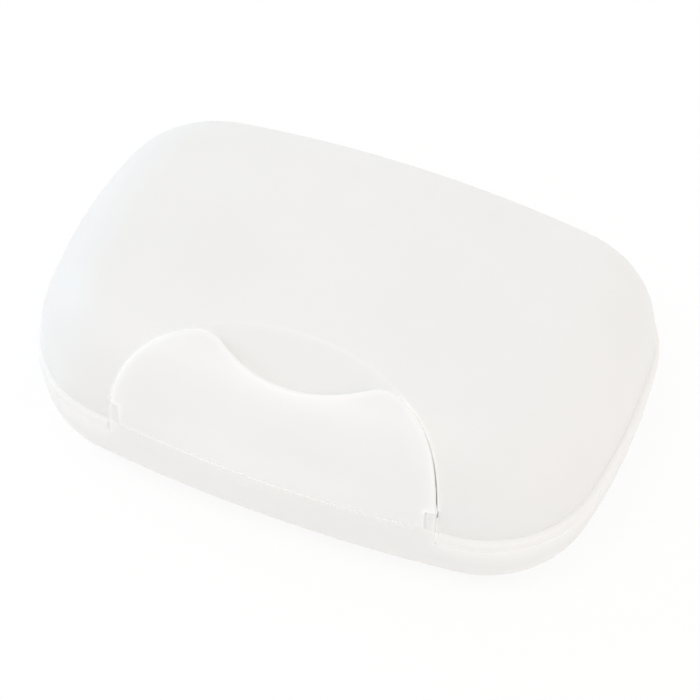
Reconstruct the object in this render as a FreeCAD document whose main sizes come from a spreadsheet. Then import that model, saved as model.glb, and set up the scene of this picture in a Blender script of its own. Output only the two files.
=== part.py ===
import FreeCAD, Part
import math
import os
import Sketcher

# Driving dimensions in millimetres and degrees: name, value, meaning.
DIMENSIONS = [
    ("box_length", 110, "rim outline, end to end"),
    ("box_width", 73.6, "rim outline, front to back"),
    ("box_height", 37.6, "table to the crown of the lid"),
    ("rim_height", 14.8, "table to the parting line"),
    ("long_bow", 300, "radius of the bowed long sides"),
    ("end_bow", 130, "radius of the bowed ends"),
    ("corner_radius", 21.5, "plan radius of the four corners"),
    ("base_wall", 1.8, "wall of the tray"),
    ("base_draft", 7, "lean of the tray wall"),
    ("base_round", 10.4, "rounding of the tray's bottom edge"),
    ("floor_thickness", 2, "floor of the tray"),
    ("lid_wall", 1.8, "wall of the lid"),
    ("lid_draft", 3, "lean of the lid's side wall"),
    ("crown_long", 490, "crown radius along the box"),
    ("crown_cross", 120, "crown radius across the box"),
    ("crown_round", 14, "rounding between crown and side wall"),
    ("bead_step", 0.8, "how far the rim bead stands out from the lid wall"),
    ("bead_height", 2.2, "height of the rim bead"),
    ("bead_round", 0.8, "rounding on top of the rim bead"),
    ("parting_gap", 0.2, "gap between tray and lid at the rim"),
    ("skirt_wall", 1.2, "wall of the locating skirt inside the lid"),
    ("skirt_depth", 2.5, "skirt below the parting line"),
    ("skirt_clearance", 0.35, "skirt to the inside of the tray"),
    ("hinge_out", 1.6, "rear hinge axis behind the rim outline"),
    ("knuckle_radius", 2.2, "rear hinge knuckles"),
    ("knuckle_length", 8, "one rear knuckle"),
    ("knuckle_gap", 0.3, "gap between rear knuckles, and around them"),
    ("gusset_drop", 4.5, "reach of a knuckle's web along the wall"),
    ("hinge_pin_radius", 1, "rear pin"),
    ("latch_pin_radius", 0.7, "front pin"),
    ("pin_fit", 0.02, "radial fit of a pin in the piece that holds it"),
    ("pin_play", 0.06, "radial play of a pin in the piece that turns on it"),
    ("flap_width", 67, "widest part of the flap outline"),
    ("flap_side_radius", 24, "side curves of the flap"),
    ("flap_lobe_radius", 5.5, "tips of the two lobes"),
    ("flap_lobe_spacing", 35, "lobe centre to lobe centre"),
    ("flap_reach", 14.6, "rim outline to the lobe tips, in plan"),
    ("flap_dip", 5.5, "depth of the finger dip between the lobes"),
    ("flap_proud", 0.9, "how far the flap stands out from the lid"),
    ("flap_wall", 1.6, "wall of the flap"),
    ("flap_edge_round", 0.6, "rounding along the flap outline"),
    ("flap_clearance", 0.35, "flap to the notch in the lid"),
    ("flap_axis_inset", 3.6, "front hinge axis inside the rim outline"),
    ("flap_axis_rise", 2.8, "front hinge axis above the apron"),
    ("flap_barrel_radius", 1.6, "barrel of the flap and ears of the tray"),
    ("apron_rise", 3.3, "front apron of the tray above the parting line"),
    ("lip_roll", 1, "reach of the flap's rolled lip past the rim outline"),
    ("lip_clearance", 0.25, "flap lip to the apron it rolls over"),
    ("ear_offset", 29.6, "middle of the box to an ear's inner face"),
    ("ear_width", 1.7, "one ear"),
    ("ear_gap", 0.3, "gap between ear and barrel, and around the ears"),
    ("ear_root", 1, "ear below the parting line"),
    ("scoop_radius", 40, "finger scoop, across the box"),
    ("scoop_long_radius", 76, "finger scoop, along the box"),
    ("scoop_front", 2, "scoop centre in front of the rim outline"),
    ("scoop_rise", 32.3, "scoop centre above the crown"),
    ("rack_thickness", 1.6, "plate of the drain rack"),
    ("rack_leg", 4, "height of the rack's legs"),
    ("rack_leg_radius", 2, "one leg"),
    ("rack_leg_margin", 1, "leg to the start of the rounded floor edge, at the middle"),
    ("rack_clearance", 0.8, "rack to the tray wall, and to the lip of the open flap"),
    ("slot_pitch", 9, "slot to slot"),
    ("slot_width", 4, "one drain slot"),
    ("slot_length", 40, "one drain slot, end to end"),
    ("ridge_width", 1.6, "soap ridges between the slots"),
    ("ridge_height", 1, "soap ridges above the plate"),
]

# Slack by which a cutting block reaches past what it cuts, and by which an edge may miss a height.
OVERCUT = 8
TOUCH = 0.01

# Sweep of the crown cut, wide enough to clear the box.
CROWN_SWEEP = 90

# Drain slots in the rack, and rear knuckles in whole steps from the middle.
SLOT_COUNT = 9
TRAY_KNUCKLES = (-2, 0, 2)
LID_KNUCKLES = (-1, 1)

doc = FreeCAD.newDocument("soap_box")
sheet = doc.addObject("Spreadsheet::Sheet", "sizes")
for row, (alias, value, meaning) in enumerate(DIMENSIONS, start=1):
    sheet.set("A%d" % row, meaning)
    sheet.set("B%d" % row, str(value))
    sheet.setAlias("B%d" % row, alias)
doc.recompute()

# Places worked out from the driving dimensions, as expressions.
HALF_LENGTH = "(sizes.box_length / 2)"
HALF_WIDTH = "(sizes.box_width / 2)"
BASE_SLOPE = "tan(sizes.base_draft * 1 deg)"
LID_SLOPE = "tan(sizes.lid_draft * 1 deg)"
HINGE_Y = "(%s + sizes.hinge_out)" % HALF_WIDTH
KNUCKLE_PITCH = "(sizes.knuckle_length + sizes.knuckle_gap)"
LATCH_Y = "(sizes.flap_axis_inset - %s)" % HALF_WIDTH
LIP_REACH = "(sizes.flap_axis_inset + sizes.lip_roll)"
LATCH_RISE = "(sizes.apron_rise + sizes.flap_axis_rise)"
LATCH_Z = "(sizes.rim_height + %s)" % LATCH_RISE
LOBE_Y = "(%s - sizes.flap_reach + sizes.flap_lobe_radius)" % HALF_WIDTH
EAR_OUTER = "(sizes.ear_offset + sizes.ear_width)"
LIP_END = "(sizes.ear_offset - sizes.ear_gap)"
EAR_TOP = "(%s + sizes.flap_barrel_radius + sizes.ear_gap)" % LATCH_Z
EAR_DEPTH = "(sizes.flap_axis_inset + sizes.flap_barrel_radius + 2 * sizes.ear_gap)"
FLAP_INSET = "(sizes.bead_step - sizes.flap_proud)"
RACK_FLAT = "(-%s - %s - sizes.rack_clearance)" % (LATCH_Y, LIP_REACH)
RACK_BOTTOM = "(sizes.floor_thickness + sizes.rack_leg)"
INNER_ROUND = "(sizes.base_round - sizes.base_wall)"
FLOOR_LEAN = "((sizes.rim_height - sizes.floor_thickness) * %s)" % BASE_SLOPE
FLOOR_EDGE = "(%s - sizes.base_wall - %s - %s)" % (HALF_WIDTH, FLOOR_LEAN, INNER_ROUND)
LEG_REACH = "(2.5 * sizes.slot_pitch)"
LEG_SPREAD = "(%s - sizes.rack_leg_radius - sizes.rack_leg_margin)" % FLOOR_EDGE


def number(expression):
    """Value of an expression on the sheet."""
    result = sheet.evalExpression(expression)
    return float(getattr(result, "Value", result))


def new_sketch(body, name, plane, offset):
    """Sketch on one of the body's own origin planes, moved along its normal."""
    sketch = body.newObject("Sketcher::SketchObject", name)
    support = [item for item in body.Origin.OriginFeatures if item.Role == plane]
    sketch.AttachmentSupport = [(support[0], "")]
    sketch.MapMode = "FlatFace"
    sketch.setExpression("AttachmentOffset.Base.z", offset)
    return sketch


def bind(sketch, kind, where, expression):
    """Dimension in a sketch that follows an expression."""
    index = sketch.addConstraint(Sketcher.Constraint(kind, *where, number(expression)))
    name = "size_%d" % index
    sketch.renameConstraint(index, name)
    sketch.setExpression("Constraints." + name, expression)


def relate(sketch, kind, *where):
    """Geometric relation in a sketch."""
    sketch.addConstraint(Sketcher.Constraint(kind, *where))


def arc(sketch, centre, radius, start, end):
    """Counter-clockwise arc in a sketch; gives its index."""
    circle = Part.Circle(FreeCAD.Vector(centre[0], centre[1], 0), FreeCAD.Vector(0, 0, 1), radius)
    return sketch.addGeometry(Part.ArcOfCircle(circle, start, end), False)


def line(sketch, start, end, construction=False):
    """Straight line in a sketch; gives its index."""
    segment = Part.LineSegment(FreeCAD.Vector(*start, 0), FreeCAD.Vector(*end, 0))
    return sketch.addGeometry(segment, construction)


def rim_loop(sketch, inset):
    """Bowed rectangle of eight tangent arcs, parallel to the rim outline."""
    half_length = number(HALF_LENGTH)
    half_width = number(HALF_WIDTH)
    long_bow = number("sizes.long_bow")
    end_bow = number("sizes.end_bow")
    corner = number("sizes.corner_radius")
    depth = number(inset)
    long_centre = FreeCAD.Vector(0, half_width - long_bow, 0)
    end_centre = FreeCAD.Vector(half_length - end_bow, 0, 0)
    between = end_centre - long_centre
    span = between.Length
    to_long = long_bow - corner
    to_end = end_bow - corner
    along = (to_long ** 2 - to_end ** 2 + span ** 2) / (2 * span)
    across = math.sqrt(to_long ** 2 - along ** 2)
    unit = between / span
    corner_centre = long_centre + unit * along + FreeCAD.Vector(unit.y, -unit.x, 0) * across
    long_turn = (corner_centre - long_centre).getAngle(FreeCAD.Vector(1, 0, 0))
    end_turn = (corner_centre - end_centre).getAngle(FreeCAD.Vector(1, 0, 0))
    first = sketch.GeometryCount
    arc(sketch, end_centre, end_bow - depth, -end_turn, end_turn)
    arc(sketch, corner_centre, corner - depth, end_turn, long_turn)
    arc(sketch, long_centre, long_bow - depth, long_turn, math.pi - long_turn)
    arc(sketch, (-corner_centre.x, corner_centre.y), corner - depth, math.pi - long_turn, math.pi - end_turn)
    arc(sketch, -end_centre, end_bow - depth, math.pi - end_turn, math.pi + end_turn)
    arc(sketch, -corner_centre, corner - depth, math.pi + end_turn, math.pi + long_turn)
    arc(sketch, -long_centre, long_bow - depth, math.pi + long_turn, -long_turn)
    arc(sketch, (corner_centre.x, -corner_centre.y), corner - depth, -long_turn, -end_turn)
    right, back, left, front = first, first + 2, first + 4, first + 6
    corners = [first + 1, first + 3, first + 5, first + 7]
    for step in range(8):
        relate(sketch, "Tangent", first + step, 2, first + (step + 1) % 8, 1)
    relate(sketch, "Equal", right, left)
    relate(sketch, "Equal", back, front)
    for other in corners[1:]:
        relate(sketch, "Equal", corners[0], other)
    bind(sketch, "Radius", (right,), "sizes.end_bow - (%s)" % inset)
    bind(sketch, "Radius", (back,), "sizes.long_bow - (%s)" % inset)
    bind(sketch, "Radius", (corners[0],), "sizes.corner_radius - (%s)" % inset)
    for side in (right, left):
        relate(sketch, "PointOnObject", side, 3, -1)
    for side in (back, front):
        relate(sketch, "PointOnObject", side, 3, -2)
    bind(sketch, "DistanceX", (right, 3, -1, 1), "sizes.end_bow - %s" % HALF_LENGTH)
    bind(sketch, "DistanceX", (-1, 1, left, 3), "sizes.end_bow - %s" % HALF_LENGTH)
    bind(sketch, "DistanceY", (back, 3, -1, 1), "sizes.long_bow - %s" % HALF_WIDTH)
    bind(sketch, "DistanceY", (-1, 1, front, 3), "sizes.long_bow - %s" % HALF_WIDTH)


def wave_loop(sketch, grow):
    """Flap outline: two lobes with a finger dip between them and curved sides."""
    half_width = number("sizes.flap_width / 2")
    side_radius = number("sizes.flap_side_radius")
    lobe_radius = number("sizes.flap_lobe_radius")
    lobe_x = number("sizes.flap_lobe_spacing / 2")
    lobe_y = -number(LOBE_Y)
    spread = number(grow)
    dip_radius = ("((sizes.flap_lobe_spacing / 2)^2 + (sizes.flap_lobe_radius - sizes.flap_dip)^2"
                  " - sizes.flap_lobe_radius^2) / (2 * sizes.flap_dip)")
    side_x = half_width - side_radius
    side_y = lobe_y - math.sqrt((side_radius - lobe_radius) ** 2 - (lobe_x - side_x) ** 2)
    dip_y = lobe_y + lobe_radius - number("sizes.flap_dip") + number(dip_radius)
    outer_turn = math.atan2(lobe_y - side_y, lobe_x - side_x)
    inner_turn = math.atan2(dip_y - lobe_y, -lobe_x)
    edge = half_width + spread
    bottom = line(sketch, (-edge, side_y), (edge, side_y))
    right_side = arc(sketch, (side_x, side_y), side_radius + spread, 0, outer_turn)
    right_lobe = arc(sketch, (lobe_x, lobe_y), lobe_radius + spread, outer_turn, inner_turn)
    dip = arc(sketch, (0, dip_y), number(dip_radius) - spread, -inner_turn, inner_turn - math.pi)
    left_lobe = arc(sketch, (-lobe_x, lobe_y), lobe_radius + spread,
                    math.pi - inner_turn, math.pi - outer_turn)
    left_side = arc(sketch, (-side_x, side_y), side_radius + spread, math.pi - outer_turn, math.pi)
    relate(sketch, "Coincident", bottom, 2, right_side, 1)
    relate(sketch, "Tangent", right_side, 2, right_lobe, 1)
    relate(sketch, "Tangent", right_lobe, 2, dip, 2)
    relate(sketch, "Tangent", dip, 1, left_lobe, 1)
    relate(sketch, "Tangent", left_lobe, 2, left_side, 1)
    relate(sketch, "Coincident", left_side, 2, bottom, 1)
    relate(sketch, "Horizontal", right_side, 1, right_side, 3)
    relate(sketch, "Horizontal", left_side, 2, left_side, 3)
    relate(sketch, "Equal", right_lobe, left_lobe)
    relate(sketch, "Equal", right_side, left_side)
    bind(sketch, "Radius", (right_lobe,), "sizes.flap_lobe_radius + (%s)" % grow)
    bind(sketch, "Radius", (right_side,), "sizes.flap_side_radius + (%s)" % grow)
    bind(sketch, "Radius", (dip,), "%s - (%s)" % (dip_radius, grow))
    bind(sketch, "DistanceX", (-1, 1, right_lobe, 3), "sizes.flap_lobe_spacing / 2")
    bind(sketch, "DistanceX", (left_lobe, 3, -1, 1), "sizes.flap_lobe_spacing / 2")
    bind(sketch, "DistanceY", (right_lobe, 3, -1, 1), LOBE_Y)
    bind(sketch, "DistanceY", (left_lobe, 3, -1, 1), LOBE_Y)
    bind(sketch, "DistanceX", (-1, 1, right_side, 3), "sizes.flap_width / 2 - sizes.flap_side_radius")
    bind(sketch, "DistanceX", (left_side, 3, -1, 1), "sizes.flap_width / 2 - sizes.flap_side_radius")


def pad(name, plane, offset, length, *drawings):
    """Body padded from a sketch; each drawing adds a loop to the sketch."""
    body = doc.addObject("PartDesign::Body", name)
    sketch = new_sketch(body, name + "_sketch", plane, offset)
    for draw in drawings:
        draw(sketch)
    feature = body.newObject("PartDesign::Pad", name + "_pad")
    feature.Profile = sketch
    feature.setExpression("Length", length)
    return body, feature


def tapered_block(name, low, height, inset, taper):
    """Block that starts as a rim loop and widens upwards by the taper angle."""
    body, walls = pad(name, "XY_Plane", low, height, lambda sketch: rim_loop(sketch, inset))
    walls.setExpression("TaperAngle", taper)
    return body, walls


def round_edges(body, feature, wanted, radius):
    """Fillet on the edges of a feature that pass the test."""
    doc.recompute()
    names = ["Edge%d" % place for place, edge in enumerate(feature.Shape.Edges, start=1) if wanted(edge)]
    fillet = body.newObject("PartDesign::Fillet", feature.Name + "_round")
    fillet.Base = (feature, names)
    fillet.setExpression("Radius", radius)
    body.Tip = fillet


def box(name, size, corner):
    """Block with its size and lowest corner bound to expressions."""
    block = doc.addObject("Part::Box", name)
    for side, expression in zip(("Length", "Width", "Height"), size):
        block.setExpression(side, expression)
    for axis, expression in zip("xyz", corner):
        block.setExpression("Placement.Base." + axis, expression)
    return block


def rod(name, radius, start, length, y, z):
    """Cylinder along X."""
    bar = doc.addObject("Part::Cylinder", name)
    bar.setExpression("Radius", radius)
    bar.setExpression("Height", length)
    bar.Placement = FreeCAD.Placement(FreeCAD.Vector(), FreeCAD.Rotation(FreeCAD.Vector(0, 1, 0), 90))
    for axis, expression in zip("xyz", (start, y, z)):
        bar.setExpression("Placement.Base." + axis, expression)
    return bar


def fuse(name, *pieces):
    """One solid from several."""
    union = doc.addObject("Part::MultiFuse", name)
    union.Shapes = list(pieces)
    return union


def cut(name, base, *tools):
    """Base without the tools, taken away one after another."""
    result = base
    for place, tool in enumerate(tools, start=1):
        step = doc.addObject("Part::Cut", name if place == len(tools) else "%s_step_%d" % (name, place))
        step.Base = result
        step.Tool = tool
        result = step
    return result


def common(name, *pieces):
    """What all the pieces share."""
    overlap = doc.addObject("Part::MultiCommon", name)
    overlap.Shapes = list(pieces)
    return overlap


def dome(name, low, inset):
    """Solid under a crowned surface parallel to the lid's outside."""
    growth = "(sizes.bead_step - (%s))" % inset
    top = "(sizes.box_height + %s)" % growth
    low_inset = "(%s) + ((%s) - sizes.rim_height) * %s" % (inset, low, LID_SLOPE)
    body, walls = tapered_block(name, low, "%s + %d - (%s)" % (top, OVERCUT, low), low_inset,
                                "-sizes.lid_draft")
    sketch = new_sketch(body, name + "_crown_sketch", "XZ_Plane", "0")
    crown_profile(sketch, top, "sizes.crown_long + " + growth, "sizes.crown_cross + " + growth)
    crown = body.newObject("PartDesign::Groove", name + "_crown")
    crown.Profile = sketch
    crown.ReferenceAxis = (sketch, ["Axis0"])
    crown.Angle = CROWN_SWEEP
    crown.Midplane = True
    doc.recompute()
    peak = max(crown.Shape.Faces, key=lambda face: face.BoundBox.ZMax)
    round_edges(body, crown, lambda edge: any(edge.isSame(side) for side in peak.Edges),
                "sizes.crown_round + " + growth)
    return body


def crown_profile(sketch, top, long_radius, cross_radius):
    """Region above the crown arc, with the axis that sweeps it across the box."""
    reach = "(%s + %d)" % (HALF_LENGTH, OVERCUT)
    ceiling = "(%s + 2 * %d)" % (top, OVERCUT)
    side = number(reach)
    roof = number(ceiling)
    radius = number(long_radius)
    centre_z = number(top) - radius
    axis_z = number(top) - number(cross_radius)
    half_turn = math.asin(side / radius)
    edge_z = centre_z + radius * math.cos(half_turn)
    curve = arc(sketch, (0, centre_z), radius, math.pi / 2 - half_turn, math.pi / 2 + half_turn)
    left = line(sketch, (-side, edge_z), (-side, roof))
    over = line(sketch, (-side, roof), (side, roof))
    right = line(sketch, (side, roof), (side, edge_z))
    axis = line(sketch, (-side, axis_z), (side, axis_z), True)
    relate(sketch, "Coincident", curve, 2, left, 1)
    relate(sketch, "Coincident", left, 2, over, 1)
    relate(sketch, "Coincident", over, 2, right, 1)
    relate(sketch, "Coincident", right, 2, curve, 1)
    relate(sketch, "Vertical", left)
    relate(sketch, "Vertical", right)
    relate(sketch, "Horizontal", over)
    relate(sketch, "Horizontal", axis)
    relate(sketch, "PointOnObject", curve, 3, -2)
    bind(sketch, "Radius", (curve,), long_radius)
    bind(sketch, "DistanceY", (curve, 3, -1, 1), "%s - %s" % (long_radius, top))
    bind(sketch, "DistanceX", (-1, 1, right, 1), reach)
    bind(sketch, "DistanceX", (left, 1, -1, 1), reach)
    bind(sketch, "DistanceY", (-1, 1, over, 1), ceiling)
    bind(sketch, "DistanceY", (axis, 1, -1, 1), "%s - %s" % (cross_radius, top))
    bind(sketch, "DistanceX", (-1, 1, axis, 2), reach)
    bind(sketch, "DistanceX", (axis, 1, -1, 1), reach)


def tray_block(name, low, high, inset, radius):
    """Tapered tray block with a rounded bottom edge."""
    low_inset = "(%s) + (sizes.rim_height - (%s)) * %s" % (inset, low, BASE_SLOPE)
    body, walls = tapered_block(name, low, "(%s) - (%s)" % (high, low), low_inset, "sizes.base_draft")
    bottom = number(low) + TOUCH
    round_edges(body, walls, lambda edge: edge.BoundBox.ZMax < bottom, radius)
    return body


def knuckle_profile(sketch, up, root):
    """Barrel of the rear hinge with a tangent web that runs up or down the wall."""
    sign = 1 if up else -1
    y = number(HINGE_Y)
    z = number("sizes.rim_height")
    radius = number("sizes.knuckle_radius")
    drop = number("sizes.gusset_drop")
    depth = number(root)
    step = number("sizes.parting_gap")
    foot = math.hypot(depth, drop)
    slant = math.atan2(sign * drop, -depth)
    tangent = slant - sign * math.acos(radius / foot)
    level = math.pi - sign * math.asin(step / radius)
    ends = (level, tangent) if up else (tangent, level)
    barrel = arc(sketch, (y, z), radius, *ends)
    touch, flat = (2, 1) if up else (1, 2)
    touch_at = (y + radius * math.cos(tangent), z + radius * math.sin(tangent))
    flat_at = (y + radius * math.cos(level), z + radius * math.sin(level))
    web = line(sketch, touch_at, (y - depth, z + sign * drop))
    wall = line(sketch, (y - depth, z + sign * drop), (y - depth, flat_at[1]))
    shelf = line(sketch, (y - depth, flat_at[1]), flat_at)
    relate(sketch, "Tangent", barrel, touch, web, 1)
    relate(sketch, "Coincident", web, 2, wall, 1)
    relate(sketch, "Coincident", wall, 2, shelf, 1)
    relate(sketch, "Coincident", shelf, 2, barrel, flat)
    relate(sketch, "Vertical", wall)
    relate(sketch, "Horizontal", shelf)
    bind(sketch, "Radius", (barrel,), "sizes.knuckle_radius")
    bind(sketch, "DistanceX", (-1, 1, barrel, 3), HINGE_Y)
    bind(sketch, "DistanceY", (-1, 1, barrel, 3), "sizes.rim_height")
    bind(sketch, "DistanceX", (wall, 1, barrel, 3), root)
    lower, upper = ((barrel, 3), (wall, 1)) if up else ((wall, 1), (barrel, 3))
    bind(sketch, "DistanceY", lower + upper, "sizes.gusset_drop")
    lower, upper = ((barrel, 3), (wall, 2)) if up else ((wall, 2), (barrel, 3))
    bind(sketch, "DistanceY", lower + upper, "sizes.parting_gap")


def knuckles(name, places, up, root):
    """Rear knuckles at whole steps of the knuckle pitch from the middle."""
    made = []
    for order, place in enumerate(places, start=1):
        start = "%d * %s - sizes.knuckle_length / 2" % (place, KNUCKLE_PITCH)
        body = pad("%s_%d" % (name, order), "YZ_Plane", start, "sizes.knuckle_length",
                   lambda sketch: knuckle_profile(sketch, up, root))[0]
        made.append(body)
    return made


def knuckle_room(name, places):
    """Room for the other shell's knuckles."""
    made = []
    for order, place in enumerate(places, start=1):
        start = "%d * %s - sizes.knuckle_length / 2 - sizes.knuckle_gap" % (place, KNUCKLE_PITCH)
        made.append(rod("%s_%d" % (name, order), "sizes.knuckle_radius + sizes.knuckle_gap", start,
                        "sizes.knuckle_length + 2 * sizes.knuckle_gap", HINGE_Y, "sizes.rim_height"))
    return made


def hinge_rod(name, radius):
    """Rod through all the rear knuckles."""
    count = len(TRAY_KNUCKLES) + len(LID_KNUCKLES)
    length = "(%d * %s - sizes.knuckle_gap)" % (count, KNUCKLE_PITCH)
    return rod(name, radius, "-%s / 2" % length, length, HINGE_Y, "sizes.rim_height")


def latch_rod(name, radius, half_length):
    """Rod on the front hinge axis."""
    return rod(name, radius, "-(%s)" % half_length, "2 * (%s)" % half_length, LATCH_Y, LATCH_Z)


def lip_sweep(name, grow, half_length):
    """Round body that the flap's bowed lip fills as it turns on the front axis."""
    body = doc.addObject("PartDesign::Body", name)
    sketch = new_sketch(body, name + "_sketch", "XY_Plane", LATCH_Z)
    end = number(half_length)
    axis_y = number(LATCH_Y)
    radius = number("sizes.long_bow") + number(grow)
    centre_y = number("sizes.long_bow") - number(HALF_WIDTH)
    half_turn = math.asin(end / radius)
    edge_y = centre_y - radius * math.cos(half_turn)
    front = arc(sketch, (0, centre_y), radius, -math.pi / 2 - half_turn, -math.pi / 2 + half_turn)
    right = line(sketch, (end, edge_y), (end, axis_y))
    back = line(sketch, (end, axis_y), (-end, axis_y))
    left = line(sketch, (-end, axis_y), (-end, edge_y))
    axis = line(sketch, (-end, axis_y), (end, axis_y), True)
    relate(sketch, "Coincident", front, 2, right, 1)
    relate(sketch, "Coincident", right, 2, back, 1)
    relate(sketch, "Coincident", back, 2, left, 1)
    relate(sketch, "Coincident", left, 2, front, 1)
    relate(sketch, "Coincident", axis, 1, left, 1)
    relate(sketch, "Coincident", axis, 2, right, 2)
    relate(sketch, "Vertical", right)
    relate(sketch, "Vertical", left)
    relate(sketch, "Horizontal", back)
    relate(sketch, "PointOnObject", front, 3, -2)
    bind(sketch, "Radius", (front,), "sizes.long_bow + (%s)" % grow)
    bind(sketch, "DistanceY", (-1, 1, front, 3), "sizes.long_bow - %s" % HALF_WIDTH)
    bind(sketch, "DistanceX", (-1, 1, right, 1), half_length)
    bind(sketch, "DistanceX", (left, 1, -1, 1), half_length)
    bind(sketch, "DistanceY", (right, 2, -1, 1), "-" + LATCH_Y)
    turn = body.newObject("PartDesign::Revolution", name + "_turn")
    turn.Profile = sketch
    turn.ReferenceAxis = (sketch, ["Axis0"])
    turn.Angle = 360
    return body


def ears():
    """Ears on the tray rim that hold the front pin."""
    height = "(sizes.ear_root + %s + sizes.flap_barrel_radius)" % LATCH_RISE
    outline = pad("ear_outline", "XY_Plane", "sizes.rim_height - sizes.ear_root", height,
                  lambda sketch: rim_loop(sketch, "sizes.ear_root * %s" % BASE_SLOPE))[0]
    made = []
    for name, start in (("right", "sizes.ear_offset"), ("left", "-" + EAR_OUTER)):
        post = box("ear_post_" + name,
                   ("sizes.ear_width", "2 * sizes.flap_barrel_radius", "sizes.ear_root + " + LATCH_RISE),
                   (start, LATCH_Y + " - sizes.flap_barrel_radius", "sizes.rim_height - sizes.ear_root"))
        head = rod("ear_head_" + name, "sizes.flap_barrel_radius", start, "sizes.ear_width", LATCH_Y, LATCH_Z)
        made.append(common("ear_" + name, outline, fuse("ear_blank_" + name, post, head)))
    return made


def ear_room(name, start, length):
    """Room around the ears and the barrel, in the lid and in the flap's lower corners."""
    return box(name, (length, "%d + %s" % (OVERCUT, EAR_DEPTH), EAR_TOP),
               (start, "-(%s + %d)" % (HALF_WIDTH, OVERCUT), "0"))


def apron():
    """Raised front of the tray wall between the ears, where the flap's lip meets it."""
    ring = pad("apron_ring", "XY_Plane", "sizes.rim_height", "sizes.apron_rise",
               lambda sketch: rim_loop(sketch, "0"),
               lambda sketch: rim_loop(sketch, "sizes.base_wall"))[0]
    front = box("apron_front", ("2 * " + EAR_OUTER, HALF_WIDTH, LATCH_Z),
                ("-" + EAR_OUTER, "-" + HALF_WIDTH, "0"))
    return common("apron", ring, front)


def base_tray():
    """Lower shell with a flat underside, front apron and ears, and the lower half of the rear hinge."""
    outside = tray_block("tray_outside", "0", "sizes.rim_height", "0", "sizes.base_round")
    inside = tray_block("tray_inside", "sizes.floor_thickness", "sizes.rim_height + %d" % OVERCUT,
                        "sizes.base_wall", INNER_ROUND)
    shell = fuse("tray_shell", cut("tray_hollow", outside, inside), apron())
    roll = lip_sweep("tray_lip_room", "sizes.lip_roll + sizes.lip_clearance", "sizes.ear_offset")
    relieved = cut("tray_relieved", shell, roll, *knuckle_room("tray_room", LID_KNUCKLES))
    root = "sizes.hinge_out + sizes.base_wall / 2"
    whole = fuse("tray_whole", relieved, *ears(), *knuckles("tray_knuckle", TRAY_KNUCKLES, False, root))
    return cut("base_tray", whole, hinge_rod("tray_hinge_bore", "sizes.hinge_pin_radius + sizes.pin_fit"),
               latch_rod("tray_latch_bore", "sizes.latch_pin_radius + sizes.pin_fit", EAR_OUTER))


def scoop(name, grow):
    """Ellipsoid that presses the finger scoop into the lid."""
    shape = doc.addObject("Part::Ellipsoid", name)
    shape.setExpression("Radius1", "sizes.scoop_radius + (%s)" % grow)
    shape.setExpression("Radius2", "sizes.scoop_long_radius + (%s)" % grow)
    shape.setExpression("Radius3", "sizes.scoop_radius + (%s)" % grow)
    shape.setExpression("Placement.Base.y", "-(%s + sizes.scoop_front)" % HALF_WIDTH)
    shape.setExpression("Placement.Base.z", "sizes.box_height + sizes.scoop_rise")
    return shape


def lid():
    """Domed upper shell with bead, skirt, flap notch, finger scoop and rear knuckles."""
    bottom = "sizes.rim_height + sizes.parting_gap"
    outside = cut("lid_outside", dome("lid_dome", bottom, "sizes.bead_step"), scoop("scoop_face", "0"))
    inside = cut("lid_inside", dome("lid_core", "sizes.rim_height", "sizes.bead_step + sizes.lid_wall"),
                 scoop("scoop_back", "sizes.lid_wall"))
    bead, bead_pad = pad("rim_bead", "XY_Plane", bottom, "sizes.bead_height",
                         lambda sketch: rim_loop(sketch, "0"))
    bead_top = number(bottom + " + sizes.bead_height") - TOUCH
    round_edges(bead, bead_pad, lambda edge: edge.BoundBox.ZMin > bead_top, "sizes.bead_round")
    root = "sizes.hinge_out + sizes.bead_step + sizes.gusset_drop * %s + sizes.lid_wall / 2" % LID_SLOPE
    whole = fuse("lid_whole", outside, bead, *knuckles("lid_knuckle", LID_KNUCKLES, True, root))
    skirt_inset = "sizes.base_wall + sizes.skirt_clearance"
    skirt = pad("skirt", "XY_Plane", "sizes.rim_height - sizes.skirt_depth",
                "sizes.skirt_depth + sizes.parting_gap + sizes.bead_height",
                lambda sketch: rim_loop(sketch, skirt_inset),
                lambda sketch: rim_loop(sketch, skirt_inset + " + sizes.skirt_wall"))[0]
    shell = fuse("lid_shell", cut("lid_hollow", whole, inside), skirt)
    notch = pad("flap_notch", "XY_Plane", "0", "sizes.box_height + %d" % OVERCUT,
                lambda sketch: wave_loop(sketch, "sizes.flap_clearance"))[0]
    pocket_half = "(%s + sizes.ear_gap)" % EAR_OUTER
    pocket = ear_room("hinge_pocket", "-" + pocket_half, "2 * " + pocket_half)
    bore = hinge_rod("lid_hinge_bore", "sizes.hinge_pin_radius + sizes.pin_play")
    return cut("lid", shell, notch, pocket, bore, *knuckle_room("lid_room", TRAY_KNUCKLES))


def flap_crest():
    """Patch of a proud dome inside the flap outline, with a rounded edge."""
    outside = dome("flap_dome", "sizes.rim_height", FLAP_INSET)
    patch = pad("flap_patch", "XY_Plane", "0", "sizes.box_height + %d" % OVERCUT,
                lambda sketch: wave_loop(sketch, "0"))[0]
    body = doc.addObject("PartDesign::Body", "flap_crest")
    body.BaseFeature = common("flap_blank", outside, patch)
    shoulder = number("sizes.box_height - sizes.crown_round")
    round_edges(body, body.Group[0],
                lambda edge: abs(edge.CenterOfMass.x) < TOUCH and edge.BoundBox.ZMin > shoulder,
                "sizes.flap_edge_round")
    return body


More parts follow.
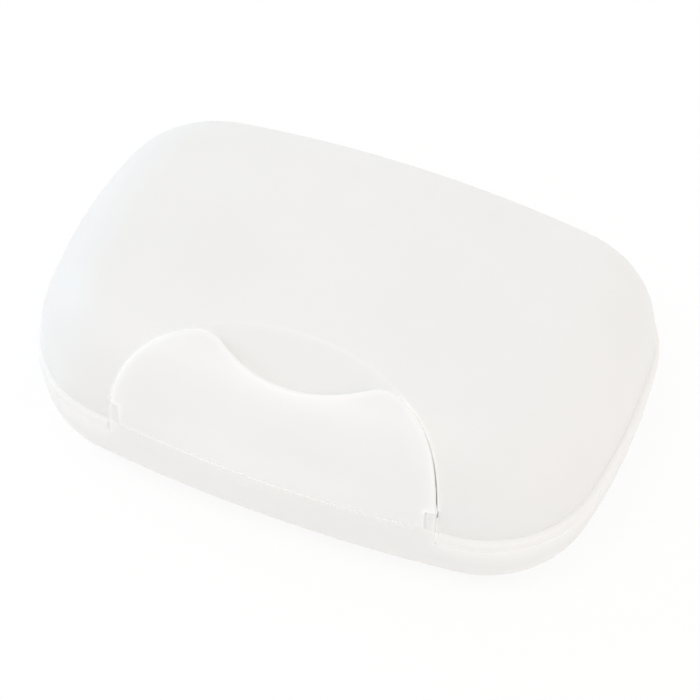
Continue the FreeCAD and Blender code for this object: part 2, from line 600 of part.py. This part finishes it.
def latch_flap():
    """Front flap: a proud patch of the dome with a rolled lip and a hinge barrel."""
    core = dome("flap_core", "sizes.rim_height", FLAP_INSET + " + sizes.flap_wall")
    web = box("flap_web", ("sizes.flap_width", "sizes.flap_axis_inset + %d" % OVERCUT,
                           LATCH_RISE + " + sizes.flap_barrel_radius"),
              ("-sizes.flap_width / 2", "-(%s + %d)" % (HALF_WIDTH, OVERCUT), "sizes.rim_height"))
    shell = cut("flap_shell", flap_crest(), cut("flap_hollow", core, web))
    below = box("flap_below", ("sizes.box_length", "sizes.flap_axis_inset + %d" % OVERCUT, LATCH_RISE),
                ("-" + HALF_LENGTH, "-(%s + %d)" % (HALF_WIDTH, OVERCUT), "sizes.rim_height"))
    waste = cut("flap_waste", below, lip_sweep("flap_lip", "sizes.lip_roll", LIP_END))
    panel = cut("flap_panel", shell, waste,
                ear_room("flap_corner_right", LIP_END, "sizes.flap_width / 2"),
                ear_room("flap_corner_left", "-%s - sizes.flap_width / 2" % LIP_END, "sizes.flap_width / 2"))
    barrel = latch_rod("flap_barrel", "sizes.flap_barrel_radius", LIP_END)
    bore = latch_rod("flap_bore", "sizes.latch_pin_radius + sizes.pin_play", "sizes.ear_offset")
    return cut("latch_flap", fuse("flap_whole", panel, barrel), bore)


def slot_shape(sketch, width, length, middle):
    """Long hole with round ends, across the rack."""
    radius = number(width) / 2
    x = number(middle)
    end = number(length) / 2 - radius
    back = arc(sketch, (x, end), radius, 0, math.pi)
    left = line(sketch, (x - radius, end), (x - radius, -end))
    front = arc(sketch, (x, -end), radius, math.pi, 2 * math.pi)
    right = line(sketch, (x + radius, -end), (x + radius, end))
    relate(sketch, "Tangent", back, 2, left, 1)
    relate(sketch, "Tangent", left, 2, front, 1)
    relate(sketch, "Tangent", front, 2, right, 1)
    relate(sketch, "Tangent", right, 2, back, 1)
    relate(sketch, "Vertical", left)
    bind(sketch, "Radius", (back,), width + " / 2")
    bind(sketch, "DistanceX", (back, 3, -1, 1), "-(%s)" % middle)
    bind(sketch, "DistanceY", (-1, 1, back, 3), "(%s - %s) / 2" % (length, width))
    bind(sketch, "DistanceY", (front, 3, -1, 1), "(%s - %s) / 2" % (length, width))


def leg_circles(sketch):
    """Four legs between the slots."""
    for side_x, side_y in ((1, 1), (-1, 1), (-1, -1), (1, -1)):
        centre = FreeCAD.Vector(side_x * number(LEG_REACH), side_y * number(LEG_SPREAD), 0)
        circle = Part.Circle(centre, FreeCAD.Vector(0, 0, 1), number("sizes.rack_leg_radius"))
        leg = sketch.addGeometry(circle, False)
        bind(sketch, "Radius", (leg,), "sizes.rack_leg_radius")
        bind(sketch, "DistanceX", (-1, 1, leg, 3) if side_x > 0 else (leg, 3, -1, 1), LEG_REACH)
        bind(sketch, "DistanceY", (-1, 1, leg, 3) if side_y > 0 else (leg, 3, -1, 1), LEG_SPREAD)


def row_of(body, feature, sketch, count, name):
    """Copies of a feature along the rack, one slot pitch apart."""
    pattern = body.newObject("PartDesign::LinearPattern", name)
    pattern.Originals = [feature]
    pattern.Direction = (sketch, ["H_Axis"])
    pattern.setExpression("Length", "%d * sizes.slot_pitch" % (count - 1))
    pattern.Occurrences = count
    body.Tip = pattern


def drain_rack():
    """Slotted plate on four legs, with soap ridges between the slots."""
    top = "(%s + sizes.rack_thickness)" % RACK_BOTTOM
    lean = "(sizes.rim_height - %s) * %s" % (RACK_BOTTOM, BASE_SLOPE)
    rounding = "%s - sqrt(%s^2 - (%s - sizes.rack_leg)^2)" % (INNER_ROUND, INNER_ROUND, INNER_ROUND)
    inset = "sizes.base_wall + %s + %s + sizes.rack_clearance" % (lean, rounding)
    body = pad("rack_plate", "XY_Plane", RACK_BOTTOM, "sizes.rack_thickness",
               lambda sketch: rim_loop(sketch, inset))[0]
    ridge_sketch = new_sketch(body, "ridge_sketch", "XY_Plane", top)
    slot_shape(ridge_sketch, "sizes.ridge_width", "sizes.slot_length",
               "-%d / 2 * sizes.slot_pitch" % SLOT_COUNT)
    ridge = body.newObject("PartDesign::Pad", "ridge")
    ridge.Profile = ridge_sketch
    ridge.setExpression("Length", "sizes.ridge_height")
    row_of(body, ridge, ridge_sketch, SLOT_COUNT + 1, "ridges")
    leg_sketch = new_sketch(body, "leg_sketch", "XY_Plane", "sizes.floor_thickness")
    leg_circles(leg_sketch)
    legs = body.newObject("PartDesign::Pad", "legs")
    legs.Profile = leg_sketch
    legs.setExpression("Length", "sizes.rack_leg")
    slot_sketch = new_sketch(body, "slot_sketch", "XY_Plane", top)
    slot_shape(slot_sketch, "sizes.slot_width", "sizes.slot_length",
               "-%d / 2 * sizes.slot_pitch" % (SLOT_COUNT - 1))
    slot = body.newObject("PartDesign::Pocket", "slot")
    slot.Profile = slot_sketch
    slot.setExpression("Length", "2 * sizes.rack_thickness")
    row_of(body, slot, slot_sketch, SLOT_COUNT, "slots")
    flats = box("rack_flats", ("sizes.box_length", "2 * " + RACK_FLAT, "sizes.box_height"),
                ("-" + HALF_LENGTH, "-" + RACK_FLAT, "0"))
    return common("drain_rack", body, flats)


def main():
    """Build every piece, check it and write it."""
    pieces = {
        "base_tray": base_tray(),
        "lid": lid(),
        "latch_flap": latch_flap(),
        "hinge_pin": hinge_rod("hinge_pin", "sizes.hinge_pin_radius"),
        "latch_pin": latch_rod("latch_pin", "sizes.latch_pin_radius", EAR_OUTER),
        "drain_rack": drain_rack(),
    }
    doc.recompute()
    for item in doc.Objects:
        if "Invalid" in item.State or "Error" in item.State:
            raise RuntimeError("%s failed: %s" % (item.Name, item.getStatusString()))
    os.makedirs("parts", exist_ok=True)
    for label, piece in pieces.items():
        piece.Label = label
        shape = piece.Shape
        if shape.isNull() or not shape.isValid():
            raise RuntimeError(label + " has no valid shape")
        print("%-12s solids %d  volume %.1f mm3" % (label, len(shape.Solids), shape.Volume))
    for label, piece in pieces.items():
        piece.Shape.exportStep("parts/%s.step" % label)


main()
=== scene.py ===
import math
import bpy
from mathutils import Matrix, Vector


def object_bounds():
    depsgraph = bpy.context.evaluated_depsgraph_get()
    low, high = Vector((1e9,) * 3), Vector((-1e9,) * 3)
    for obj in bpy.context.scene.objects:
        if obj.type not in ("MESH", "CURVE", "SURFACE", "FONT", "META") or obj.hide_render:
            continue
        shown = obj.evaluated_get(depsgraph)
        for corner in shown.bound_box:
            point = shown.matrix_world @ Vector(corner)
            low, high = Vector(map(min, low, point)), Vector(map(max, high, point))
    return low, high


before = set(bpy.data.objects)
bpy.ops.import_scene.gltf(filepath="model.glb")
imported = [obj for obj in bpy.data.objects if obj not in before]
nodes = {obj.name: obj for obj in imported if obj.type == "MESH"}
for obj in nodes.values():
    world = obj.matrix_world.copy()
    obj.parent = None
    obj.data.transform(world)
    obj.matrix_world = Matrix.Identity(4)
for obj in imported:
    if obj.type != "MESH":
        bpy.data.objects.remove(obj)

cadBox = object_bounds()
scene = bpy.context.scene
print("frame loaded:", ", ".join(sorted(nodes)))


# small helpers for node trees

def newTree(name):
    material = bpy.data.materials.new(name)
    material.use_nodes = True
    tree = material.node_tree
    tree.nodes.clear()
    return material, tree


def place(tree, kind, x, y, **settings):
    node = tree.nodes.new(kind)
    node.location = (x, y)
    for key, value in settings.items():
        if key in node.inputs:
            node.inputs[key].default_value = value
        else:
            setattr(node, key, value)
    return node


def groupSockets(tree, inputs, outputs):
    for name, (kind, value) in inputs.items():
        socket = tree.interface.new_socket(
            name, in_out="INPUT", socket_type="NodeSocket" + kind)
        socket.default_value = value
    for name, kind in outputs.items():
        tree.interface.new_socket(name, in_out="OUTPUT", socket_type="NodeSocket" + kind)
    start = place(tree, "NodeGroupInput", -900, 0)
    end = place(tree, "NodeGroupOutput", 900, 0)
    return start.outputs, end.inputs


def mixColour(tree, x, y, factor, first, second):
    mix = place(tree, "ShaderNodeMix", x, y, data_type="RGBA")
    tree.links.new(factor, mix.inputs["Factor"])
    tree.links.new(first, mix.inputs["A"])
    tree.links.new(second, mix.inputs["B"])
    for socket in mix.outputs:
        if socket.type == "RGBA":
            return socket


# each end of the range is a number or a socket

def mapRange(tree, x, y, value, ends, smooth=False):
    kind = "SMOOTHSTEP" if smooth else "LINEAR"
    node = place(tree, "ShaderNodeMapRange", x, y, interpolation_type=kind)
    tree.links.new(value, node.inputs["Value"])
    for name, end in ends.items():
        if isinstance(end, bpy.types.NodeSocket):
            tree.links.new(end, node.inputs[name])
        else:
            node.inputs[name].default_value = end
    return node.outputs["Result"]


# moulded milky plastic: slow clouds in the milk, fine frosting on the skin, a painted highlight
# on the edges and a painted glow in the seams

frostLook = {
    "cloudDetail": 2.0, "cloudRoughness": 0.4, "cloudStart": 0.35, "cloudEnd": 0.65,
    "grainDetail": 3.0, "grainRoughness": 0.6,
    "rimStart": 0.998, "rimEnd": 0.9, "rimSamples": 6,
    "seamEnd": 0.02, "seamSamples": 8, "noGlow": (0, 0, 0, 1),
}


def makeFrostingAndPaintedLight(look):
    tree = bpy.data.node_groups.new("frostingAndPaintedLight", "ShaderNodeTree")
    link = tree.links.new
    given, result = groupSockets(
        tree,
        {"Milk": ("Color", (0.87, 0.87, 0.86, 1)),
         "Cloud": ("Color", (0.85, 0.85, 0.84, 1)),
         "Cloud Scale": ("Float", 40.0),
         "Grain Scale": ("Float", 2600.0),
         "Smoothest": ("Float", 0.36),
         "Roughest": ("Float", 0.46),
         "Painted Rim Highlight": ("Color", (0.95, 0.95, 0.94, 1)),
         "Rim Width": ("Float", 0.002),
         "Seam Glow": ("Float", 0.4),
         "Seam Start": ("Float", 0.3),
         "Low Glow": ("Float", 0.0),
         "Glow Foot": ("Float", 0.0012),
         "Glow Full": ("Float", 0.002),
         "Seam Depth": ("Float", 0.003)},
        {"Color": "Color", "Roughness": "Float", "Height": "Float", "Glow": "Color"})
    where = place(tree, "ShaderNodeTexCoord", -900, -300).outputs["Object"]
    clouds = place(tree, "ShaderNodeTexNoise", -600, 200,
                   Detail=look["cloudDetail"], Roughness=look["cloudRoughness"])
    grain = place(tree, "ShaderNodeTexNoise", -600, -200,
                  Detail=look["grainDetail"], Roughness=look["grainRoughness"])
    for noise, scale in ((clouds, "Cloud Scale"), (grain, "Grain Scale")):
        link(where, noise.inputs["Vector"])
        link(given[scale], noise.inputs["Scale"])
    drift = mapRange(tree, -300, 200, clouds.outputs["Fac"],
                     {"From Min": look["cloudStart"], "From Max": look["cloudEnd"]}, smooth=True)
    milk = mixColour(tree, 200, 200, drift, given["Milk"], given["Cloud"])
    # painted highlight: moulded edges gather light, so they are painted paler
    soft = place(tree, "ShaderNodeBevel", -600, 600, samples=look["rimSamples"])
    link(given["Rim Width"], soft.inputs["Radius"])
    plain = place(tree, "ShaderNodeNewGeometry", -600, 450)
    along = place(tree, "ShaderNodeVectorMath", -300, 550, operation="DOT_PRODUCT")
    link(soft.outputs["Normal"], along.inputs[0])
    link(plain.outputs["Normal"], along.inputs[1])
    paintedRimHighlight = mapRange(tree, -100, 550, along.outputs["Value"],
                   {"From Min": look["rimStart"], "From Max": look["rimEnd"]}, smooth=True)
    milk = mixColour(tree, 450, 300, paintedRimHighlight, milk, given["Painted Rim Highlight"])
    link(milk, result["Color"])
    frost = mapRange(tree, 200, -100, grain.outputs["Fac"],
                     {"To Min": given["Smoothest"], "To Max": given["Roughest"]})
    link(frost, result["Roughness"])
    link(grain.outputs["Fac"], result["Height"])
    # painted light: seams and the closed inside glow, standing in for light that comes through
    # the milk; the glow is weaker low down
    seam = place(tree, "ShaderNodeAmbientOcclusion", -600, -500, samples=look["seamSamples"])
    link(given["Seam Depth"], seam.inputs["Distance"])
    height = place(tree, "ShaderNodeSeparateXYZ", -600, -700)
    link(where, height.inputs["Vector"])
    share = mapRange(tree, -300, -800, height.outputs["Z"],
                     {"From Min": given["Glow Foot"], "From Max": given["Glow Full"],
                      "To Min": given["Low Glow"], "To Max": given["Seam Glow"]}, smooth=True)
    seamGlowMask = mapRange(tree, -300, -500, seam.outputs["AO"],
                     {"From Min": given["Seam Start"], "From Max": look["seamEnd"],
                      "To Max": share})
    dark = place(tree, "ShaderNodeRGB", 200, -600)
    dark.outputs["Color"].default_value = look["noGlow"]
    glow = mixColour(tree, 500, -400, seamGlowMask, dark.outputs["Color"], milk)
    link(glow, result["Glow"])
    return tree


frostingAndPaintedLight = makeFrostingAndPaintedLight(frostLook)


def frostedPlastic(name, look):
    material, tree = newTree(name)
    link = tree.links.new
    skin = place(tree, "ShaderNodeGroup", -500, 0, node_tree=frostingAndPaintedLight)
    for socket in skin.inputs:
        socket.default_value = look[socket.name]
    bump = place(tree, "ShaderNodeBump", -200, -250, Strength=look["grainStrength"],
                 Distance=look["grainDepth"])
    body = place(tree, "ShaderNodeBsdfPrincipled", 100, 0, IOR=look["ior"])
    body.inputs["Specular IOR Level"].default_value = look["specular"]
    body.inputs["Subsurface Weight"].default_value = look["milkiness"]
    body.inputs["Subsurface Radius"].default_value = look["milkRadius"]
    body.inputs["Subsurface Scale"].default_value = look["milkDepth"]
    body.inputs["Emission Strength"].default_value = look["glowStrength"]
    end = place(tree, "ShaderNodeOutputMaterial", 400, 0)
    link(skin.outputs["Color"], body.inputs["Base Color"])
    link(skin.outputs["Roughness"], body.inputs["Roughness"])
    link(skin.outputs["Glow"], body.inputs["Emission Color"])
    link(skin.outputs["Height"], bump.inputs["Height"])
    link(bump.outputs["Normal"], body.inputs["Normal"])
    link(body.outputs["BSDF"], end.inputs["Surface"])
    return material


def dress(node, material):
    nodes[node].data.materials.clear()
    nodes[node].data.materials.append(material)


# tray and lid

shellLook = {
    "Milk": (0.87, 0.865, 0.85, 1), "Cloud": (0.855, 0.85, 0.838, 1), "Cloud Scale": 38.0,
    "Grain Scale": 2600.0, "Smoothest": 0.38, "Roughest": 0.48,
    "grainStrength": 0.12, "grainDepth": 0.0001, "ior": 1.49, "specular": 0.5,
    "milkiness": 0.6, "milkRadius": (1.0, 0.95, 0.9), "milkDepth": 0.004,
    # the rim colour is a painted highlight on the edges; the seam settings paint a glow into the
    # seams
    "Painted Rim Highlight": (0.9, 0.895, 0.88, 1), "Rim Width": 0.0012,
    "Seam Glow": 0.28, "Seam Start": 0.3, "Seam Depth": 0.03,
    "Low Glow": 0.0, "Glow Foot": 0.0012, "Glow Full": 0.002, "glowStrength": 1.0,
}
shellPlastic = frostedPlastic("frosted_shell", shellLook)
dress("base_tray", shellPlastic)
dress("lid", shellPlastic)
print("tray and lid dressed")

# front flap, painted a little paler than the shell for the light it catches, and smoother; its
# painted glow is weaker on its lip than in its seams

flapLook = {
    **shellLook,
    "Milk": (0.896, 0.891, 0.881, 1), "Cloud": (0.881, 0.876, 0.866, 1), "Cloud Scale": 45.0,
    "Smoothest": 0.3, "Roughest": 0.4,
    # a paler, wider painted highlight on its edges and a stronger painted glow in its seams
    "Painted Rim Highlight": (0.925, 0.922, 0.917, 1), "Rim Width": 0.0025,
    "Seam Glow": 0.68, "Seam Start": 0.6,
    "Low Glow": 0.17, "Glow Foot": 0.021, "Glow Full": 0.0228,
}
dress("latch_flap", frostedPlastic("frosted_flap", flapLook))
print("flap dressed")

# drain rack

rackLook = {
    **shellLook,
    "Cloud Scale": 60.0, "Smoothest": 0.42, "Roughest": 0.55, "grainStrength": 0.2,
    # a stronger painted glow in its seams and inside
    "Seam Glow": 0.42,
}
dress("drain_rack", frostedPlastic("rack_plastic", rackLook))
print("rack dressed")


# drawn steel wire for both pins

wireLook = {
    "bright": (0.66, 0.66, 0.67, 1), "dull": (0.52, 0.52, 0.54, 1),
    "lineScale": 5200.0, "lineDetail": 2.0, "stretch": (0.02, 1.0, 1.0),
    "smoothest": 0.22, "roughest": 0.36, "lineStrength": 0.25, "lineDepth": 0.00004,
}


def drawnSteel(name, look):
    material, tree = newTree(name)
    where = place(tree, "ShaderNodeTexCoord", -900, 0)
    along = place(tree, "ShaderNodeMapping", -700, 0, Scale=look["stretch"])
    lines = place(tree, "ShaderNodeTexNoise", -500, 0,
                  Scale=look["lineScale"], Detail=look["lineDetail"])
    tint = place(tree, "ShaderNodeValToRGB", -250, 150)
    tint.color_ramp.elements[0].color = look["dull"]
    tint.color_ramp.elements[1].color = look["bright"]
    polish = mapRange(tree, -250, -100, lines.outputs["Fac"],
                      {"To Min": look["smoothest"], "To Max": look["roughest"]})
    bump = place(tree, "ShaderNodeBump", -250, -350,
                 Strength=look["lineStrength"], Distance=look["lineDepth"])
    body = place(tree, "ShaderNodeBsdfPrincipled", 100, 0, Metallic=1.0)
    end = place(tree, "ShaderNodeOutputMaterial", 400, 0)
    tree.links.new(where.outputs["Object"], along.inputs["Vector"])
    tree.links.new(along.outputs["Vector"], lines.inputs["Vector"])
    tree.links.new(lines.outputs["Fac"], tint.inputs["Fac"])
    tree.links.new(lines.outputs["Fac"], bump.inputs["Height"])
    tree.links.new(tint.outputs["Color"], body.inputs["Base Color"])
    tree.links.new(polish, body.inputs["Roughness"])
    tree.links.new(bump.outputs["Normal"], body.inputs["Normal"])
    tree.links.new(body.outputs["BSDF"], end.inputs["Surface"])
    return material


pinSteel = drawnSteel("pin_steel", wireLook)
dress("hinge_pin", pinSteel)
dress("latch_pin", pinSteel)
print("pins dressed")


# floor: white to the eye, with a share left that takes the shadow

floorLook = {"reach": 3.0, "colour": (0.98, 0.98, 0.98, 1), "seenWhite": 0.82,
             "seenStrength": 1.0}


def seenRays(tree, x, y):
    path = place(tree, "ShaderNodeLightPath", x, y)
    both = place(tree, "ShaderNodeMath", x + 200, y, operation="MAXIMUM")
    every = place(tree, "ShaderNodeMath", x + 400, y, operation="MAXIMUM")
    tree.links.new(path.outputs["Is Camera Ray"], both.inputs[0])
    tree.links.new(path.outputs["Is Glossy Ray"], both.inputs[1])
    tree.links.new(both.outputs["Value"], every.inputs[0])
    tree.links.new(path.outputs["Is Transmission Ray"], every.inputs[1])
    return every.outputs["Value"]


def makeFloor(look):
    reach = look["reach"]
    mesh = bpy.data.meshes.new("floor")
    corners = [(-reach, -reach, 0), (reach, -reach, 0), (reach, reach, 0), (-reach, reach, 0)]
    mesh.from_pydata(corners, [], [(0, 1, 2, 3)])
    floor = bpy.data.objects.new("floor", mesh)
    scene.collection.objects.link(floor)
    material, tree = newTree("floor_white")
    share = place(tree, "ShaderNodeMath", -100, 200, operation="MULTIPLY")
    share.inputs[1].default_value = look["seenWhite"]
    tree.links.new(seenRays(tree, -800, 200), share.inputs[0])
    paint = place(tree, "ShaderNodeBsdfDiffuse", -100, 0, Color=look["colour"])
    white = place(tree, "ShaderNodeEmission", -100, -200, Strength=look["seenStrength"])
    mix = place(tree, "ShaderNodeMixShader", 150, 0)
    end = place(tree, "ShaderNodeOutputMaterial", 400, 0)
    tree.links.new(share.outputs["Value"], mix.inputs["Fac"])
    tree.links.new(paint.outputs["BSDF"], mix.inputs[1])
    tree.links.new(white.outputs["Emission"], mix.inputs[2])
    tree.links.new(mix.outputs["Shader"], end.inputs["Surface"])
    mesh.materials.append(material)


makeFloor(floorLook)

# soft room light and three large lamps

roomLook = {"colour": (1.0, 0.988, 0.972, 1), "strength": 0.94,
            "seenColour": (1, 1, 1, 1), "seenStrength": 1.0}
lampLooks = {
    "key": {"place": (-0.35, -0.45, 1.3), "size": 0.7,
            "power": 1.5, "colour": (1.0, 0.99, 0.98)},
    "coolSide": {"place": (-1.2, 0.1, 0.4), "size": 0.6,
                 "power": 2.1, "colour": (0.4, 0.68, 1.0)},
    "warmSide": {"place": (1.2, -0.2, 0.7), "size": 0.9,
                 "power": 1.2, "colour": (1.0, 0.72, 0.62)},
}


def makeRoom(look):
    world = bpy.data.worlds.new("studio")
    scene.world = world
    world.use_nodes = True
    tree = world.node_tree
    tree.nodes.clear()
    soft = place(tree, "ShaderNodeBackground", 0, 100,
                 Color=look["colour"], Strength=look["strength"])
    white = place(tree, "ShaderNodeBackground", 0, -100,
                  Color=look["seenColour"], Strength=look["seenStrength"])
    mix = place(tree, "ShaderNodeMixShader", 250, 0)
    end = place(tree, "ShaderNodeOutputWorld", 450, 0)
    tree.links.new(seenRays(tree, -800, 250), mix.inputs["Fac"])
    tree.links.new(soft.outputs["Background"], mix.inputs[1])
    tree.links.new(white.outputs["Background"], mix.inputs[2])
    tree.links.new(mix.outputs["Shader"], end.inputs["Surface"])


def makeLamp(name, look, aim):
    light = bpy.data.lights.new(name, "AREA")
    light.shape = "DISK"
    light.size = look["size"]
    light.energy = look["power"]
    light.color = look["colour"]
    lamp = bpy.data.objects.new(name, light)
    lamp.location = look["place"]
    lamp.rotation_euler = (aim - Vector(look["place"])).to_track_quat("-Z", "Y").to_euler()
    scene.collection.objects.link(lamp)


boxMiddle = (Vector(cadBox[0]) + Vector(cadBox[1])) / 2
makeRoom(roomLook)
for lampName, lampLook in lampLooks.items():
    makeLamp(lampName, lampLook, boxMiddle)
print("floor and light set")

# camera, from the front right and above

cameraLook = {
    "turn": 23.3, "rise": 50.92, "distance": 0.60057, "aim": (0.001768, -0.003347, 0.018),
    "lens": 170.04, "sensor": 36.0, "near": 0.01,
}


def makeCamera(look):
    turn = math.radians(look["turn"])
    rise = math.radians(look["rise"])
    level = math.cos(rise)
    back = Vector((math.sin(turn) * level, -math.cos(turn) * level, math.sin(rise)))
    data = bpy.data.cameras.new("camera")
    data.lens = look["lens"]
    data.sensor_width = look["sensor"]
    data.clip_start = look["near"]
    camera = bpy.data.objects.new("camera", data)
    camera.location = Vector(look["aim"]) + back * look["distance"]
    camera.rotation_euler = (-back).to_track_quat("-Z", "Y").to_euler()
    scene.collection.objects.link(camera)
    scene.camera = camera


makeCamera(cameraLook)
scene.view_settings.view_transform = "Standard"
print("camera set")

bpy.context.view_layer.update()
